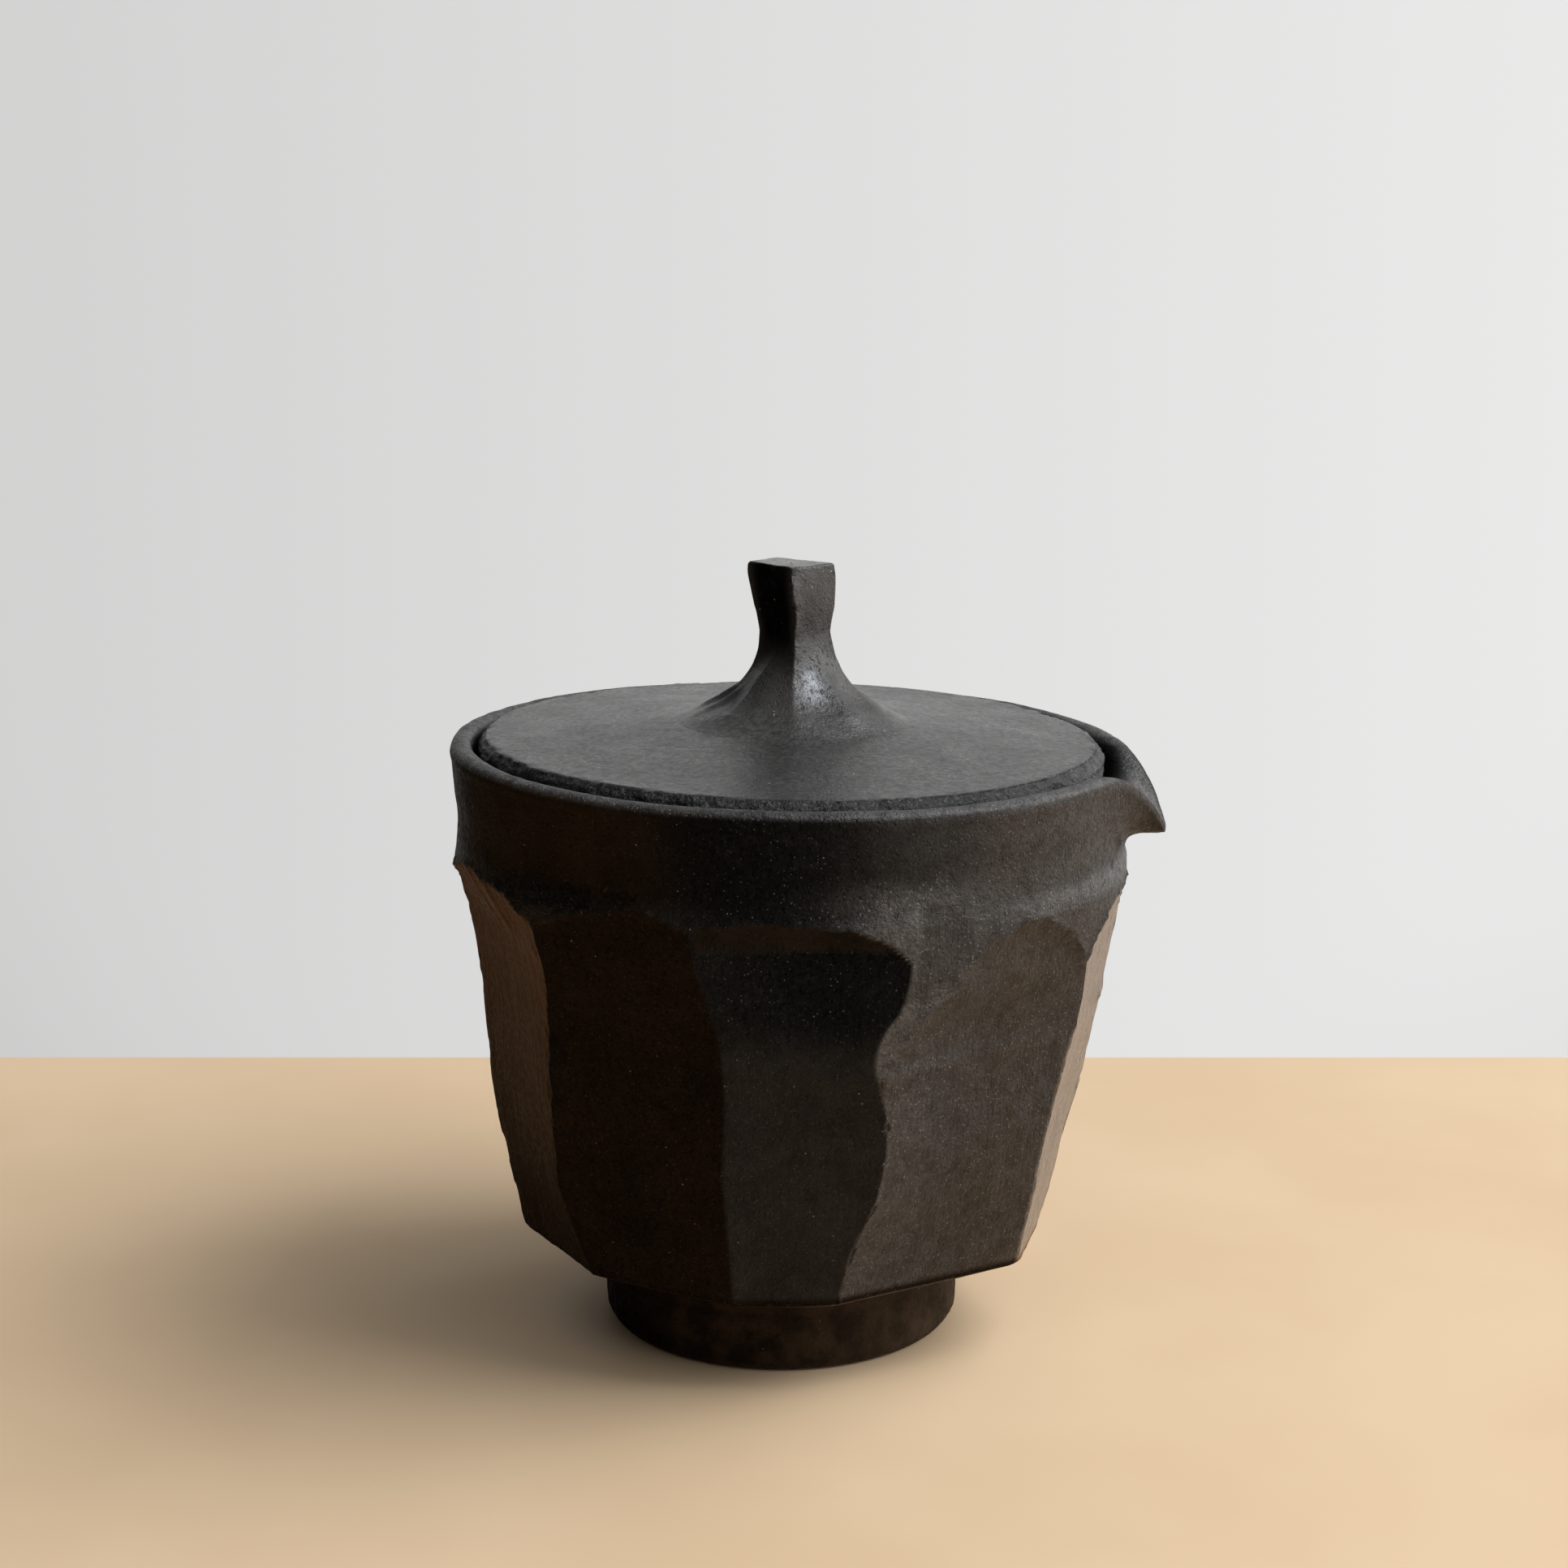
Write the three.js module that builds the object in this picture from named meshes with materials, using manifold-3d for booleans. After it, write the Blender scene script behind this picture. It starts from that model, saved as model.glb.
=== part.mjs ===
// Faceted stoneware sugar bowl with a pulled pouring lip and a lift-off knobbed lid.
// Millimetres, +Z up, origin on the table under the middle of the whole bowl.
// The bowl is thrown round, then nine facets are cut down its wall with a knife.
// The rim, the ledge inside it and the lid all dip slightly toward the pouring lip on the +X side.

import * as THREE from 'three';
import { mergeVertices } from 'three/addons/utils/BufferGeometryUtils.js';
import Module from 'manifold-3d';

const wasm = await Module();
wasm.setup();

// ---- Driving dimensions ----

const TOTAL_HEIGHT = 104.8; // table to the top of the knob
const RIM_RADIUS = 45.7; // outside of the rim
const RIM_HEIGHT = 80.8; // top of the rim at the bowl's axis
const WAIST_RADIUS = 44.9; // narrowest part of the neck, under the rim
const SHOULDER_HEIGHT = 66; // where the neck ends and the facets begin
const BODY_BASE_HEIGHT = 13.3; // lower edge of the facets
const FACET_MEETING_HEIGHT = 60; // where neighbouring facets meet in a corner, below the shoulder
const DIP_DEG = 1.2; // lean of the rim and the lid toward the pouring lip

const SPOUT_REACH = 50.9; // axis to the tip of the pouring lip
const SPOUT_DEG = -9; // direction of the pouring lip, from +X
const SPOUT_HALF_DEG = 21; // half the stretch of rim that is pulled out

const SEAT_HEIGHT = 76; // top of the ledge that carries the lid
const SEAT_SHELF_HEIGHT = 71.5; // step in the wall that carries the ledge
const SEAT_INNER_RADIUS = 37.5;
const RECESS_RADIUS = 42.6; // inside of the rim above the ledge
const FIT_GAP = 0.3; // kept between pieces that do not meet on a level plane

const LID_RADIUS = 42.1;
const LID_EDGE_HEIGHT = 81.3; // top arris of the lid's edge, at the axis
const KNOB_BASE_HEIGHT = 84.2;
const KNOB_BASE_RADIUS = 12.6;

const FOOT_RADIUS = 24.55;
const FOOT_TOP_HEIGHT = 10.5; // plane where the foot meets the bowl's floor
const FOOT_RECESS_RADIUS = 19.5;
const FOOT_RECESS_HEIGHT = 7;
const FOOT_SHIFT = -1.3; // the foot was trimmed slightly off the bowl's axis
const FLOOR_HEIGHT = 13.5; // inside floor of the bowl

const ROUND_SEGMENTS = 96;

// The pouring lip reaches out on one side only, so the bowl's axis stands back from the origin.
const spoutReachX = SPOUT_REACH * Math.cos(THREE.MathUtils.degToRad(SPOUT_DEG));
const AXIS_X = (RIM_RADIUS - spoutReachX) / 2;

// Corners between facets: direction from +X, how far the corner stands in or out of the
// common wall line, and how far its facets run up or down past the common shoulder.
const FACET_CORNERS = [
  { deg: -74.5, out: -0.6, rise: -3 },
  { deg: -32.5, out: 0.3, rise: -5 },
  { deg: 0, out: -0.5, rise: -7 },
  { deg: 49, out: -0.4, rise: -1 },
  { deg: 93, out: 0.2, rise: 1 },
  { deg: 136, out: 0, rise: -1 },
  { deg: 181, out: 0.4, rise: 0 },
  { deg: 223, out: -0.4, rise: 0 },
  { deg: 258.7, out: -0.6, rise: 1.5 },
];

// Corners of the four-sided knob, directions from +X.
const KNOB_CORNERS_DEG = [-90, -4, 110, 170];

// ---- Small helpers ----

function points(pairs) {
  return pairs.map(([radius, height]) => new THREE.Vector2(radius, height));
}

// A closed turned body: LatheGeometry turns about Y, so it is stood up to turn about Z.
function turned(profile, segments = ROUND_SEGMENTS) {
  const geometry = new THREE.LatheGeometry(profile, segments);
  geometry.rotateX(Math.PI / 2);
  geometry.deleteAttribute('normal');
  geometry.deleteAttribute('uv');
  return geometry;
}

// Shifts the lower part of the facets to stand over the foot, fading out toward the shoulder.
function leanToFoot(geometry) {
  const position = geometry.attributes.position;
  for (let i = 0; i < position.count; i += 1) {
    const share = 1 - smoothstep(position.getZ(i), BODY_BASE_HEIGHT, FACET_MEETING_HEIGHT);
    position.setX(i, position.getX(i) + FOOT_SHIFT * share);
  }
  return geometry;
}

// Calls move(radius, angle, z, column, row) on every vertex and stores the [radius, angle, z] it returns.
function reshape(geometry, rows, move) {
  const position = geometry.attributes.position;
  for (let i = 0; i < position.count; i += 1) {
    const x = position.getX(i);
    const y = position.getY(i);
    const column = Math.floor(i / rows);
    const placed = move(Math.hypot(x, y), Math.atan2(y, x), position.getZ(i), column, i % rows);
    const [radius, angle, z] = placed;
    position.setXYZ(i, radius * Math.cos(angle), radius * Math.sin(angle), z);
  }
  return geometry;
}

function smoothstep(value, low, high) {
  return THREE.MathUtils.smoothstep(value, low, high);
}

// Lowers what is high and far out toward +X, which leans the rim, the ledge and the lid together.
function dip(geometry) {
  const slope = Math.tan(THREE.MathUtils.degToRad(DIP_DEG));
  const position = geometry.attributes.position;
  for (let i = 0; i < position.count; i += 1) {
    const x = position.getX(i);
    const radius = Math.hypot(x, position.getY(i));
    const z = position.getZ(i);
    const high = smoothstep(z, SEAT_SHELF_HEIGHT, SEAT_SHELF_HEIGHT + 2);
    const share = radius > KNOB_BASE_RADIUS + 1 ? high : 0;
    position.setZ(i, z - slope * x * share);
  }
  return geometry;
}

function toManifold(geometry) {
  const merged = mergeVertices(geometry, 1e-4);
  return new wasm.Manifold(new wasm.Mesh({
    numProp: 3,
    vertProperties: Float32Array.from(merged.attributes.position.array),
    triVerts: Uint32Array.from(merged.index.array),
  }));
}

function toGeometry(solid) {
  const mesh = solid.getMesh();
  const geometry = new THREE.BufferGeometry();
  geometry.setAttribute('position', new THREE.BufferAttribute(mesh.vertProperties, 3));
  geometry.setIndex(new THREE.BufferAttribute(mesh.triVerts, 1));
  geometry.computeVertexNormals();
  return geometry;
}

function closed(geometry) {
  const merged = mergeVertices(geometry, 1e-4);
  merged.computeVertexNormals();
  return merged;
}

// ---- Materials ----

function stoneware(color, roughness) {
  return new THREE.MeshStandardMaterial({ color, roughness, metalness: 0 });
}

const wallMaterial = stoneware(0x2a2321, 0.55);
const footMaterial = stoneware(0x241c18, 0.8);
const seatMaterial = stoneware(0x2e2c2e, 0.6);
const lidMaterial = stoneware(0x3a3a3c, 0.5);
const knobMaterial = stoneware(0x2c2c30, 0.45);

// ---- Bowl body ----

// Outside then inside of the wall, from the underside's centre over the rim to the floor's centre.
// The pulled profile is the same line where the pouring lip is pulled out and down to its tip.
function wallProfiles() {
  const rim = RIM_HEIGHT;
  const sections = [
    // thrown radius, thrown height, pulled radius, pulled height
    [0, FOOT_TOP_HEIGHT],
    [28, FOOT_TOP_HEIGHT],
    [42, BODY_BASE_HEIGHT + 1.3],
    [45, 45],
    [45.2, SHOULDER_HEIGHT - 2],
    [WAIST_RADIUS + 0.3, SHOULDER_HEIGHT, 45.3, SHOULDER_HEIGHT],
    [WAIST_RADIUS, 69, 45.5, 68.3],
    [WAIST_RADIUS, 71.5, 46.9, 69.3],
    [WAIST_RADIUS + 0.4, 75, 48.8, 69.6],
    [RIM_RADIUS - 0.1, 78, 50.2, 69.7],
    [RIM_RADIUS, rim - 1.1, SPOUT_REACH - 0.1, 70.1],
    [RIM_RADIUS - 0.5, rim - 0.3, SPOUT_REACH, 70.8],
    [RIM_RADIUS - 1.4, rim, 50.3, 71.6],
    [RECESS_RADIUS + 0.6, rim - 0.3, 49.2, 72.6],
    [RECESS_RADIUS, rim - 1.2, 47.4, 74.1],
    [RECESS_RADIUS, 77.8, 45.2, 75.6],
    [RECESS_RADIUS, SEAT_HEIGHT, RECESS_RADIUS + 0.2, 75.9],
    [RECESS_RADIUS, SEAT_SHELF_HEIGHT],
    [40.4, SEAT_SHELF_HEIGHT],
    [39.4, 66],
    [38, 58],
    [36.6, 48],
    [35, 37],
    [32.6, 25],
    [29.2, 17],
    [24, FLOOR_HEIGHT],
    [0, FLOOR_HEIGHT],
  ];
  const thrown = sections.map(([radius, height]) => [radius, height]);
  const pulled = sections.map(([radius, height, outRadius = radius, outHeight = height]) => [outRadius, outHeight]);
  return { thrown, pulled };
}

// How far the rim is pulled, 0 to 1, at an angle: the reach rises before the droop does.
function pullAt(angle, power) {
  const away = Math.abs(THREE.MathUtils.radToDeg(angle) - SPOUT_DEG) / SPOUT_HALF_DEG;
  return Math.max(0, 1 - away) ** power;
}

function pulledWall() {
  const REACH_POWER = 1.7;
  const DROOP_POWER = 2.6;
  const { thrown, pulled } = wallProfiles();
  const wall = turned(points(thrown));
  return reshape(wall, thrown.length, (radius, angle, z, column, row) => {
    const reach = pullAt(angle, REACH_POWER);
    const droop = pullAt(angle, DROOP_POWER);
    const newRadius = THREE.MathUtils.lerp(radius, pulled[row][0], reach);
    const newZ = THREE.MathUtils.lerp(z, pulled[row][1], droop);
    return [newRadius, angle, newZ];
  });
}

// The nine-sided blank that the knife leaves: corner radius by height, wide open above the shoulder.
function facetedBlank() {
  const cornerLine = [
    [0, 0],
    [27, 0],
    [29.5, FOOT_TOP_HEIGHT],
    [36.6, BODY_BASE_HEIGHT],
    [39.2, 23.5],
    [41.2, 36],
    [42.4, 49],
    [43.2, 56],
    [44.7, 61.3],
    [46.2, 64],
    [48.2, 67],
    [62, 75],
    [62, 92],
    [0, 92],
  ];
  const blank = turned(points(cornerLine), FACET_CORNERS.length);
  reshape(blank, cornerLine.length, (radius, angle, z, column) => {
    const corner = FACET_CORNERS[column % FACET_CORNERS.length];
    const cut = radius > 35 && radius < 60;
    const running = smoothstep(z, 36, FACET_MEETING_HEIGHT);
    const newRadius = cut ? radius + corner.out : radius;
    const newZ = cut ? z + corner.rise * running : z;
    return [newRadius, THREE.MathUtils.degToRad(corner.deg), newZ];
  });
  return leanToFoot(blank);
}

function bowlBody() {
  const wall = toManifold(pulledWall());
  const blank = toManifold(facetedBlank());
  const geometry = dip(toGeometry(wall.intersect(blank)));
  const mesh = new THREE.Mesh(geometry, wallMaterial);
  mesh.name = 'bowl_body';
  return mesh;
}

// ---- Foot ----

function footRing() {
  const EDGE_ROUND = 1.2;
  const section = points([
    [0, FOOT_RECESS_HEIGHT],
    [FOOT_RECESS_RADIUS - 1.5, FOOT_RECESS_HEIGHT],
    [FOOT_RECESS_RADIUS, FOOT_RECESS_HEIGHT - 1.5],
    [FOOT_RECESS_RADIUS + 0.4, 0],
    [FOOT_RADIUS - EDGE_ROUND, 0],
    [FOOT_RADIUS - 0.3, EDGE_ROUND * 0.5],
    [FOOT_RADIUS, EDGE_ROUND * 1.5],
    [FOOT_RADIUS, FOOT_TOP_HEIGHT],
    [0, FOOT_TOP_HEIGHT],
  ]);
  const mesh = new THREE.Mesh(closed(turned(section)), footMaterial);
  mesh.name = 'foot_ring';
  mesh.position.x = FOOT_SHIFT;
  return mesh;
}

// ---- Ledge inside the rim ----

function lidSeat() {
  const outer = RECESS_RADIUS - FIT_GAP;
  const section = points([
    [SEAT_INNER_RADIUS, SEAT_HEIGHT - 2],
    [40.6, SEAT_SHELF_HEIGHT],
    [outer, SEAT_SHELF_HEIGHT],
    [outer, SEAT_HEIGHT],
    [SEAT_INNER_RADIUS + 0.6, SEAT_HEIGHT],
    [SEAT_INNER_RADIUS, SEAT_HEIGHT - 0.6],
    [SEAT_INNER_RADIUS, SEAT_HEIGHT - 2],
  ]);
  const mesh = new THREE.Mesh(closed(dip(turned(section))), seatMaterial);
  mesh.name = 'lid_seat';
  return mesh;
}

// ---- Lid ----

function lidDisc() {
  const under = SEAT_HEIGHT + FIT_GAP;
  const section = points([
    [0, under + 2.7],
    [33.5, under + 2.7],
    [36.8, under],
    [LID_RADIUS - 0.5, under],
    [LID_RADIUS - 0.1, under + 0.5],
    [LID_RADIUS, LID_EDGE_HEIGHT - 0.6],
    [LID_RADIUS - 0.5, LID_EDGE_HEIGHT],
    [30, LID_EDGE_HEIGHT + 0.8],
    [20, LID_EDGE_HEIGHT + 1.7],
    [KNOB_BASE_RADIUS, KNOB_BASE_HEIGHT],
    [0, KNOB_BASE_HEIGHT],
  ]);
  const mesh = new THREE.Mesh(closed(dip(turned(section))), lidMaterial);
  mesh.name = 'lid_disc';
  return mesh;
}

// Eight columns of vertices: four at the knob's corners and four midway along its faces. Low on
// the flare all eight stand out equally; higher up the midway ones sink in until the faces are flat.
function lidKnob() {
  const section = [
    [0, KNOB_BASE_HEIGHT],
    [KNOB_BASE_RADIUS, KNOB_BASE_HEIGHT],
    [10.2, 86],
    [8, 87.8],
    [6.5, 90],
    [5.5, 92.6],
    [5.1, 96],
    [5.6, 99.2],
    [6.1, 102.4],
    [6.1, 104.2],
    [5.7, TOTAL_HEIGHT],
    [0, TOTAL_HEIGHT],
  ];
  const corners = KNOB_CORNERS_DEG.length;
  const knob = turned(points(section), 2 * corners);
  reshape(knob, section.length, (radius, angle, z, column) => {
    const here = Math.floor(column / 2) % corners;
    const from = KNOB_CORNERS_DEG[here];
    const next = KNOB_CORNERS_DEG[(here + 1) % corners];
    const span = (next - from + 360) % 360;
    const midway = column % 2;
    const flatness = smoothstep(z, KNOB_BASE_HEIGHT, 94);
    const chord = Math.cos(THREE.MathUtils.degToRad(span / 2));
    const share = midway ? THREE.MathUtils.lerp(1, chord, flatness) : 1;
    const direction = THREE.MathUtils.degToRad(from + midway * span / 2);
    return [radius * share, direction, z];
  });
  const mesh = new THREE.Mesh(closed(knob), knobMaterial);
  mesh.name = 'lid_knob';
  return mesh;
}

// ---- Assembly ----

function bowl() {
  const group = new THREE.Group();
  group.add(bowlBody(), footRing(), lidSeat());
  return group;
}

function lid() {
  const group = new THREE.Group();
  group.add(lidDisc(), lidKnob());
  return group;
}

const group = new THREE.Group();
group.add(bowl(), lid());
group.position.x = AXIS_X;

export default group;
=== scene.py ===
"""Looks of a faceted dark stoneware sugar bowl with a pulled pouring lip and a knobbed lid.

Shapes are worked out in millimetres round the bowl's turning axis and stored in metres in the
frame. Angles go round the bowl in degrees from the -Y side, through +X, so 90 is the lip's side.
"""
import math

import bpy
import numpy as np
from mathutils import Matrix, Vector


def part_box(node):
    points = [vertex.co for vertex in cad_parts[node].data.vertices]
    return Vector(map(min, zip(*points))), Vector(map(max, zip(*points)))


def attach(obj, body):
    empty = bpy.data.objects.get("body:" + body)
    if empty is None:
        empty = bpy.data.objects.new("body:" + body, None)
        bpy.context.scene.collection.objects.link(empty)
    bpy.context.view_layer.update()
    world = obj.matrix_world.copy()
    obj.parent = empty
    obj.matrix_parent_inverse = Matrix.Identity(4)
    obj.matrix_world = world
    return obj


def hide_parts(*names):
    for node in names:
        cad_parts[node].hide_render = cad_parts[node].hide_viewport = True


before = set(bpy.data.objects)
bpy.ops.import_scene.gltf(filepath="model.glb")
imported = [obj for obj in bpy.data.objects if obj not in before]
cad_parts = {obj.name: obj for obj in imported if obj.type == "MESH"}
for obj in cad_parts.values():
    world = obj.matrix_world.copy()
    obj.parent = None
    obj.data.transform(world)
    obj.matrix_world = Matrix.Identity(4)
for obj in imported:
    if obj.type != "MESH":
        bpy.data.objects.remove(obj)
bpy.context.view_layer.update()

MM = 0.001

# ---- Sizes read from the frame, in millimetres ----


def box_mm(node):
    low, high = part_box(node)
    return np.array(low) / MM, np.array(high) / MM


LID_LOW, LID_HIGH = box_mm("lid_disc")
BODY_LOW, BODY_HIGH = box_mm("bowl_body")
FOOT_LOW, FOOT_HIGH = box_mm("foot_ring")

AXIS_X = (LID_LOW[0] + LID_HIGH[0]) / 2
FOOT_X = (FOOT_LOW[0] + FOOT_HIGH[0]) / 2
LID_RADIUS = (LID_HIGH[0] - LID_LOW[0]) / 2
FOOT_RADIUS = (FOOT_HIGH[0] - FOOT_LOW[0]) / 2
FOOT_TOP = FOOT_HIGH[2]
KNOB_TOP = box_mm("lid_knob")[1][2]

# ---- Sizes of the thrown shape, in millimetres ----

DIP = math.tan(math.radians(1.2))  # lean of rim, ledge and lid toward the lip
SHOULDER = 66.0
SHOULDER_RADIUS = 45.4
EDGE_HEIGHT = 13.4
FLOOR_HEIGHT = 13.5
LID_UNDER = 76.3
LID_EDGE = 81.4

SPOUT_ANGLE = 81.0
SPOUT_HALF = 21.0
SPOUT_TIP = (BODY_HIGH[0] - AXIS_X) / math.sin(math.radians(SPOUT_ANGLE)) - 0.12
INSIDE_CAD = 0.05  # how far the visual wall keeps inside the frame's box

# ---- Interpolation and noise ----


def through(at, knots):
    """A smooth curve through (x, y) knots, level beyond its ends."""
    x, y = np.array(knots, float).T
    slope = np.gradient(y, x)
    i = np.clip(np.searchsorted(x, at) - 1, 0, len(x) - 2)
    h = x[i + 1] - x[i]
    t = np.clip((at - x[i]) / h, 0, 1)
    rise = 3 * t**2 - 2 * t**3
    start = (t**3 - 2 * t**2 + t) * h * slope[i]
    end = (t**3 - t**2) * h * slope[i + 1]
    return (1 - rise) * y[i] + rise * y[i + 1] + start + end


def ease(value, low, high):
    """0 below low, 1 above high and a smooth rise between them."""
    t = np.clip((value - low) / (high - low), 0, 1)
    return t * t * (3 - 2 * t)


def soft_min(a, b, width):
    """The smaller of a and b, rounded where they cross."""
    h = np.clip(0.5 + 0.5 * (b - a) / width, 0, 1)
    return b + (a - b) * h - width * h * (1 - h)


def lattice(cell, seed):
    """A repeatable value from -1 to 1 for each whole-number cell."""
    x, y, z = (cell[..., i].astype(np.int64) for i in range(3))
    h = (x * 374761393 + y * 668265263 + z * 2147483647 + seed * 1274126177) & 0xFFFFFFFF
    h = ((h ^ (h >> 13)) * 1103515245) & 0xFFFFFFFF
    h = ((h ^ (h >> 16)) * 2654435761) & 0xFFFFFFFF
    return ((h ^ (h >> 15)) & 0xFFFFFF) / 0x7FFFFF - 1.0


def noise(points, size, seed):
    """Smooth noise from -1 to 1 with lumps of about size mm (a number, or one for each axis)."""
    p = points / np.array(size, float)
    cell = np.floor(p)
    f = p - cell
    f = f * f * (3 - 2 * f)
    total = np.zeros(points.shape[:-1])
    for corner in np.ndindex(2, 2, 2):
        offset = np.array(corner)
        weight = np.prod(np.where(offset == 1, f, 1 - f), axis=-1)
        total += weight * lattice(cell + offset, seed)
    return total


def layered(points, size, seed, layers=3):
    """Noise with finer and weaker layers added to it."""
    total = np.zeros(points.shape[:-1])
    for i in range(layers):
        total += noise(points, np.array(size, float) / 2**i, seed + i) / 2**i
    return total


# ---- Grids and meshes ----


def polar(radius, angle, height):
    """Points at a distance, an angle in degrees and a height round the bowl's axis."""
    a = np.radians(angle)
    return np.stack([radius * np.sin(a), -radius * np.cos(a), height + 0 * a], axis=-1)


def grid_normals(points):
    """Outward direction at each point of a grid of rows round the axis."""
    around = np.roll(points, -1, axis=1) - np.roll(points, 1, axis=1)
    along = np.gradient(points, axis=0)
    normal = np.cross(around, along)
    return normal / np.maximum(np.linalg.norm(normal, axis=-1, keepdims=True), 1e-12)


def link_mesh(name, vertices, faces):
    """A smooth-shaded piece from vertices in millimetres."""
    mesh = bpy.data.meshes.new(name)
    mesh.from_pydata((vertices * MM).tolist(), [], faces)
    mesh.polygons.foreach_set("use_smooth", [True] * len(mesh.polygons))
    piece = bpy.data.objects.new(name, mesh)
    bpy.context.scene.collection.objects.link(piece)
    return piece


def make_piece(name, points, centre_x, attributes=()):
    """A closed mesh from rows of points round an axis; the first and last rows close on it."""
    rows, columns = points.shape[:2]
    poles = np.stack([points[0].mean(axis=0), points[-1].mean(axis=0)])
    poles[:, :2] = 0
    vertices = np.concatenate([points.reshape(-1, 3), poles])
    vertices[:, 0] += centre_x
    index = np.arange(rows * columns).reshape(rows, columns)
    after = np.roll(index, -1, axis=1)
    quads = np.stack([index[:-1], after[:-1], after[1:], index[1:]], axis=-1).reshape(-1, 4)
    first_pole, last_pole = rows * columns, rows * columns + 1
    fans = [[first_pole, b, a] for a, b in zip(index[0], after[0])]
    fans += [[last_pole, a, b] for a, b in zip(index[-1], after[-1])]
    piece = link_mesh(name, vertices, quads.tolist() + fans)
    for label, values in dict(attributes).items():
        layer = piece.data.attributes.new(label, "FLOAT", "POINT")
        ends = [values[0].mean(), values[-1].mean()]
        layer.data.foreach_set("value", np.concatenate([values.ravel(), ends]).astype(np.float32))
    piece.data.validate()
    return piece


def ring_piece(name, points, centre_x):
    """A closed ring: its last row joins its first."""
    rows, columns = points.shape[:2]
    vertices = points.reshape(-1, 3).copy()
    vertices[:, 0] += centre_x
    index = np.arange(rows * columns).reshape(rows, columns)
    after, above = np.roll(index, -1, axis=1), np.roll(index, -1, axis=0)
    corner = np.roll(above, -1, axis=1)
    quads = np.stack([index, after, corner, above], axis=-1).reshape(-1, 4)
    return link_mesh(name, vertices, quads.tolist())


# ---- Bowl wall ----

# Corners between facets, from the far left round through the front: (height, angle) knots, how far
# the corner stands in or out of the common line, how far it runs in at the base, and the height
# where it meets the round wall.
CORNERS = [
    {"line": [(13, -82), (25, -86), (45, -91), (64, -92)], "out": 0.0, "base": 0.0, "meet": 63},
    {"line": [(13, -47.5), (19, -50), (25.4, -50.6), (31, -48.8), (37, -47.8), (44, -47.3), (51, -46),
              (58, -44.5), (64, -45.4)], "out": -0.4, "base": -1.7, "meet": 63},
    {"line": [(13, -10.8), (22, -10.9), (33, -11.4), (44, -10.9), (52, -11.9), (60, -14.7), (66, -15.8)],
     "out": -0.6, "base": -1.8, "meet": 65},
    {"line": [(13, 12), (17.4, 12.6), (23.7, 14.5), (27.3, 16.3), (31, 17.2), (38.8, 17.4), (44, 15.8),
              (47.5, 14.6), (50, 14.5), (52.6, 15.5), (55.4, 17.7), (58.4, 18.8), (62, 19.2)],
     "out": -0.6, "base": -2.0, "meet": 52},
    {"line": [(13, 12.3), (17.4, 12.9), (23.7, 14.8), (27.3, 16.6), (31, 17.5), (38.8, 17.7), (44, 16.1),
              (47.5, 15), (50, 15.4), (52.6, 17.5), (57, 25.6), (62, 31)],
     "out": -0.6, "base": -2.0, "meet": 52},
    {"line": [(13, 59), (16, 57.4), (22, 56.6), (29, 55.9), (36, 56.9), (42, 58.7), (51, 59.8), (58, 57.5)],
     "out": 0.4, "base": 0.2, "meet": 56},
    {"line": [(13, 80), (25, 84), (40, 88), (54, 90)], "out": 0.0, "base": -0.6, "meet": 53},
    {"line": [(13, 132), (36, 140), (62, 139)], "out": -0.4, "base": -0.8, "meet": 62},
    {"line": [(13, 184), (32, 181), (62, 184)], "out": 0.2, "base": -0.5, "meet": 63},
    {"line": [(13, 228), (40, 227), (62, 225)], "out": 0.0, "base": -0.5, "meet": 61},
]

# Facets between those corners: angle, height and sharpness of the curved top edge, and how steeply
# the knife went in. Between the third and fourth cuts a web of the round wall is left at the top.
FACETS = [
    {"centre": -66, "peak": 67.2, "fall": 0.0084, "power": 2.0, "entry": 0.50},
    {"centre": -27, "peak": 67.7, "fall": 0.0520, "power": 1.5, "entry": 0.62},
    {"centre": -3, "peak": 67.1, "fall": 0.0005, "power": 3.0, "entry": 0.80},
    None,
    {"centre": 41, "peak": 64.6, "fall": 0.0280, "power": 2.0, "entry": 0.50},
    {"centre": 78, "peak": 63.1, "fall": 0.00018, "power": 3.5, "entry": 0.30},
    {"centre": 114, "peak": 65.6, "fall": 0.0115, "power": 2.0, "entry": 0.60},
    {"centre": 161, "peak": 66.8, "fall": 0.0100, "power": 2.0, "entry": 0.55},
    {"centre": 204, "peak": 67.2, "fall": 0.0110, "power": 2.0, "entry": 0.65},
    {"centre": 247, "peak": 66.0, "fall": 0.0110, "power": 2.0, "entry": 0.60},
]

COLUMN_DEG = 0.6
USUAL_MEET = 63  # height where the common line of the corners meets the round wall
UNCUT = -50.0  # stands for the distance below a cut's top edge where there is no cut


def round_radius(height):
    """Outside of the round wall before it was cut, and of the neck that stays round."""
    return through(height, [(48, 43.1), (50.6, 43.6), (52.8, 44.0), (55, 44.4), (57.3, 44.75), (60, 45.1),
                            (62.5, 45.3), (65, 45.4), (67, 45.3), (70, 44.95), (73, 45.0), (76.5, 45.3),
                            (80.6, 45.55)])


def corner_radius(height):
    """The common line of the facet corners: its distance from the axis."""
    return through(height, [(13, 35.9), (17, 37.0), (21.6, 38.1), (26, 39.2), (30.5, 40.0), (35, 40.75),
                            (39.5, 41.35), (44, 41.9), (48.4, 42.45), (52.8, 43.1), (55, 43.65), (57.3, 44.2),
                            (59.5, 44.9), (62, 45.4)])


def lean(height):
    """The bowl stands over its foot a little askew: sideways shift of the wall at each height."""
    return (FOOT_X - AXIS_X) * np.clip(1 - height / 60, 0, 1)


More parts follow.
